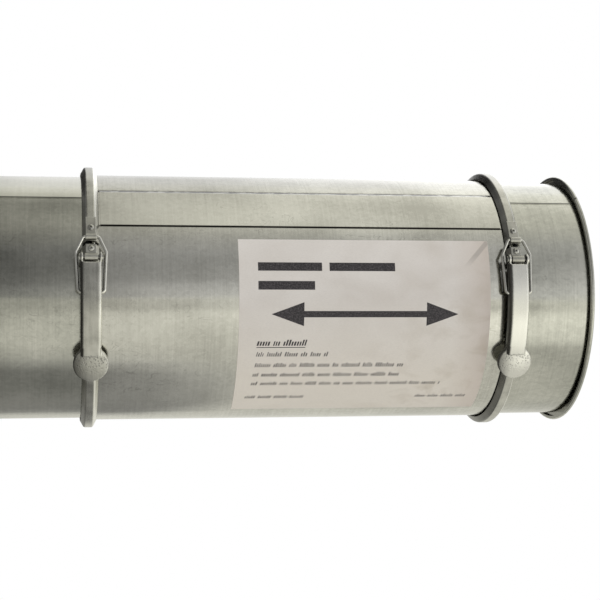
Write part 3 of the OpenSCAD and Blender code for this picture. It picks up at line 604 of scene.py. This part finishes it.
def floorLevel(tree, split, look):  # how bright the mirrored floor glows, from place to place: painted light and shade
    far, near, dark, light = look["leftDark"]  # painted shade: dimmer on the left
    left = addNode(tree, "MapRange", {0: split["X"], 1: far, 2: near, 3: dark, 4: light})
    near, far, light, bright = look["rightBright"]  # painted light: brighter in front on the right
    right = addNode(tree, "MapRange", {0: split["X"], 1: near, 2: far, 3: light, 4: bright})
    near, far = look["brightFront"]
    front = addNode(tree, "MapRange", {0: split["Y"], 1: near, 2: far})
    right = addNode(tree, "Mix", {0: front, 2: look["nearLevel"], 3: right})
    level = addNode(tree, "Math", {0: left, 1: right}, operation="MULTIPLY")
    near, far, dim, bright = look["horizonLevel"]
    distant = addNode(tree, "MapRange", {0: split["X"], 1: near, 2: far, 3: dim, 4: bright})
    near, far = look["horizon"]
    dusk = addNode(tree, "MapRange", {0: split["Y"], 1: near, 2: far})
    return addNode(tree, "Mix", {0: dusk, 2: level, 3: distant})


def makeFloor(look):
    half, drop = look["floorSize"] / 2, -look["floorDrop"]
    corners = [(-half, -half, drop), (half, -half, drop), (half, half, drop), (-half, half, drop)]
    data = bpy.data.meshes.new("studio_floor")
    data.from_pydata(corners, [], [(0, 1, 2, 3)])
    floor = bpy.data.objects.new("studio_floor", data)
    bpy.context.scene.collection.objects.link(floor)
    # matt painted floor: pale, with the object's soft shadow, and white further out; seen in the metal, it
    # glows with painted light and shade
    material, tree, shader = newMaterial("mattWhiteFloor", {"Roughness": look["floorRough"]})
    place = addNode(tree, "NewGeometry", out="Position")
    split = addNode(tree, "SeparateXYZ", {0: place}).node.outputs
    rays = addNode(tree, "LightPath").node.outputs
    mirrored = addNode(tree, "Math", {0: rays["Is Glossy Ray"], 1: rays["Is Transmission Ray"]},
                       operation="MAXIMUM")
    reach = addNode(tree, "VectorMath", {0: place, 1: look["shadeAt"]}, operation="SUBTRACT")
    reach = addNode(tree, "VectorMath", {0: reach}, operation="ABSOLUTE")
    reach = addNode(tree, "VectorMath", {0: reach, 1: look["shadeHalf"]}, operation="SUBTRACT")
    reach = addNode(tree, "VectorMath", {0: reach, 1: (0.0, 0.0, 0.0)}, operation="MAXIMUM")
    scale = (look["shadeSide"], 1.0, 0.0)
    reach = addNode(tree, "VectorMath", {0: reach, 1: scale}, operation="MULTIPLY")
    reach = addNode(tree, "VectorMath", {0: reach}, "Value", operation="LENGTH")
    near, far = look["shade"]  # mirrored, the floor under the object and behind it is darker
    clear = addNode(tree, "MapRange", {0: reach, 1: near, 2: far}, interpolation_type="SMOOTHSTEP")
    shaded = addNode(tree, "Math", {0: 1.0, 1: clear}, operation="SUBTRACT")
    shaded = addNode(tree, "Math", {0: shaded, 1: mirrored}, operation="MULTIPLY")
    paint = addNode(tree, "Mix", {0: shaded, 6: look["floor"], 7: look["floorShade"]}, 2, data_type="RGBA")
    tree.links.new(paint, shader["Base Color"])
    level = floorLevel(tree, split, look)
    level = addNode(tree, "Mix", {0: rays["Is Camera Ray"], 2: level, 3: 1.0})
    wide, deep = look["poolHalf"]  # round the object's shadow the camera sees the paint itself
    pool = addNode(tree, "VectorMath", {0: place, 1: look["poolAt"]}, operation="SUBTRACT")
    pool = addNode(tree, "VectorMath", {0: pool, 1: (1 / wide, 1 / deep, 0.0)}, operation="MULTIPLY")
    pool = addNode(tree, "VectorMath", {0: pool}, "Value", operation="LENGTH")
    near, far = look["pool"]
    pool = addNode(tree, "MapRange", {0: pool, 1: near, 2: far}, interpolation_type="SMOOTHSTEP")
    pool = addNode(tree, "Math", {0: pool, 1: rays["Is Camera Ray"]}, operation="MULTIPLY")
    glowing = addNode(tree, "Math", {0: mirrored, 1: clear}, operation="MULTIPLY")
    glowing = addNode(tree, "Math", {0: glowing, 1: pool}, operation="MAXIMUM")
    tint = addNode(tree, "Mix", {0: rays["Is Camera Ray"], 6: look["warm"], 7: look["white"]}, 2,
                   data_type="RGBA")
    glow = addNode(tree, "Emission", {"Color": tint, "Strength": level})
    mix = addNode(tree, "MixShader", {0: glowing, 1: tree.nodes["Principled BSDF"].outputs[0], 2: glow})
    tree.links.new(mix, tree.nodes["Material Output"].inputs["Surface"])
    data.materials.append(material)


def makeLamps(look):
    for name, lamp in look["lamps"].items():
        data = bpy.data.lights.new(name + "_softbox", "AREA")
        data.shape = "RECTANGLE"
        data.size, data.size_y = lamp["size"]
        data.energy = lamp["power"]
        data.color = linear(lamp["tint"])[:3]
        softbox = bpy.data.objects.new(name + "_softbox", data)
        softbox.location = lamp["at"]
        softbox.rotation_euler = (-Vector(lamp["at"])).to_track_quat("-Z", "Y").to_euler()
        softbox.visible_camera = False
        softbox.visible_glossy = False  # the metal mirrors the room instead
        bpy.context.scene.collection.objects.link(softbox)


def makeCamera(look):
    data = bpy.data.cameras.new("photo_camera")
    data.lens = look["lens"]
    data.clip_end = look["reach"]
    view = bpy.data.objects.new("photo_camera", data)
    view.location = look["at"]
    view.rotation_euler = (math.radians(90 + look["tilt"]), 0, math.radians(-look["turn"]))
    bpy.context.scene.collection.objects.link(view)
    bpy.context.scene.camera = view


makeWorld(studio)
makeFloor(studio)
makeLamps(studio)
makeCamera(camera)
bpy.context.scene.view_settings.view_transform = "Standard"
print("studio set")
